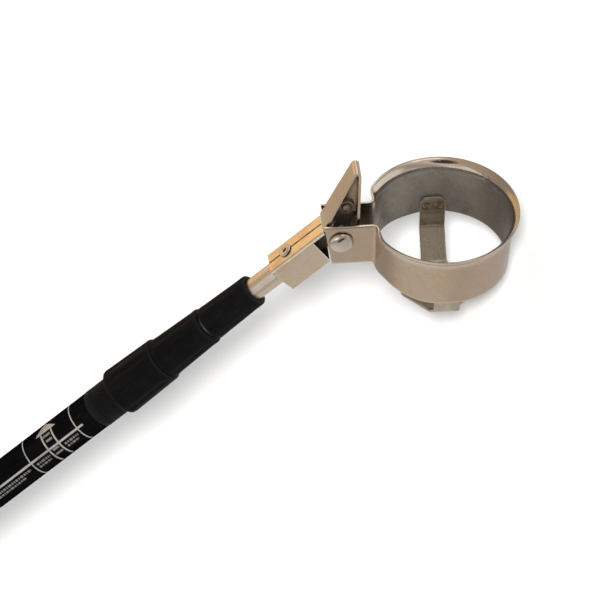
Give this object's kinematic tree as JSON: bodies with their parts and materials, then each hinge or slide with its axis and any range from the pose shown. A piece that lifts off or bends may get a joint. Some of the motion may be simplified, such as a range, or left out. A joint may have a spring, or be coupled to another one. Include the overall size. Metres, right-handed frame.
{
  "type": "golf ball retriever",
  "caption": "Telescopic pole with twist-lock collars and a hinged open ring cup with a spring-loaded latch lever, for lifting a golf ball out of water or rough.",
  "frame": {"origin": "centre of the flat butt face at the handle end, on the shaft axis", "axes": "+X along the shaft towards the head, +Z out of the seam side of the shaft bracket, Y along the hinge pin"},
  "size_m": [0.6543, 0.06, 0.0823],
  "materials": {
    "plated_sheet": "nickel-plated sheet, warm satin",
    "bracket_sheet": "nickel-plated sheet, warmer and brighter",
    "bright_steel": "bright plated rivets, wire and screws",
    "dark_steel": "unplated dark steel",
    "tube_aluminium": "drawn, satin",
    "black_tube": "gloss black",
    "collar_plastic": "satin black moulding",
    "nylon": "natural nylon",
    "label_film": "gloss black film with plain grey marks",
    "grip_rubber": "black, matt"
  },
  "bodies": {
    "handle": {"handle_tube": "black_tube", "collar_rear": "collar_plastic", "label_sleeve": "label_film", "grip": "grip_rubber", "butt_cap": "grip_rubber"},
    "rear_cam": {"lock_cam_3": "collar_plastic"},
    "third_stage": {"third_tube": "tube_aluminium", "collar_middle": "collar_plastic", "lock_plug_3": "nylon", "lock_screw_3": "bright_steel"},
    "middle_cam": {"lock_cam_2": "collar_plastic"},
    "second_stage": {"second_tube": "tube_aluminium", "collar_front": "collar_plastic", "lock_plug_2": "nylon", "lock_screw_2": "bright_steel"},
    "front_cam": {"lock_cam_1": "collar_plastic"},
    "head": {"inner_tube": "tube_aluminium", "lock_plug_1": "nylon", "lock_screw_1": "bright_steel", "tip_plug": "nylon", "shaft_bracket": "bracket_sheet", "bracket_eyelet": "bright_steel", "hinge_tongue": "dark_steel", "hinge_spacer_near": "nylon", "hinge_spacer_far": "nylon", "lever_pin": "bracket_sheet", "lever_spring": "bright_steel"},
    "cup": {"cup_band": "plated_sheet", "cup_base_strap": "plated_sheet", "hinge_pin": "bright_steel"},
    "lever": {"latch_lever": "plated_sheet"}
  },
  "joints": [
    {"name": "extend_rear", "type": "slide", "parent": "handle", "child": "rear_cam", "axis": [1, 0, 0], "range_m": [0, 0.38]},
    {"name": "twist_rear", "type": "hinge", "parent": "rear_cam", "child": "third_stage", "pos_m": [0.03, 0, 0], "axis": [1, 0, 0], "range_deg": [0, 90]},
    {"name": "extend_middle", "type": "slide", "parent": "third_stage", "child": "middle_cam", "axis": [1, 0, 0], "range_m": [0, 0.38]},
    {"name": "twist_middle", "type": "hinge", "parent": "middle_cam", "child": "second_stage", "pos_m": [0.06, 0, 0], "axis": [1, 0, 0], "range_deg": [0, 90]},
    {"name": "extend_front", "type": "slide", "parent": "second_stage", "child": "front_cam", "axis": [1, 0, 0], "range_m": [0, 0.38]},
    {"name": "twist_front", "type": "hinge", "parent": "front_cam", "child": "head", "pos_m": [0.09, 0, 0], "axis": [1, 0, 0], "range_deg": [0, 90]},
    {"name": "cup_pivot", "type": "hinge", "parent": "head", "child": "cup", "pos_m": [0.6, 0, -0.0019], "axis": [0, 1, 0], "range_deg": [-45, 70]},
    {"name": "lever_pivot", "type": "hinge", "parent": "head", "child": "lever", "pos_m": [0.61063, 0, 0.00556], "axis": [0, 1, 0], "range_deg": [0, 12], "stiffness_Nm_per_rad": 0.05, "springref_deg": -17.19}
  ]
}
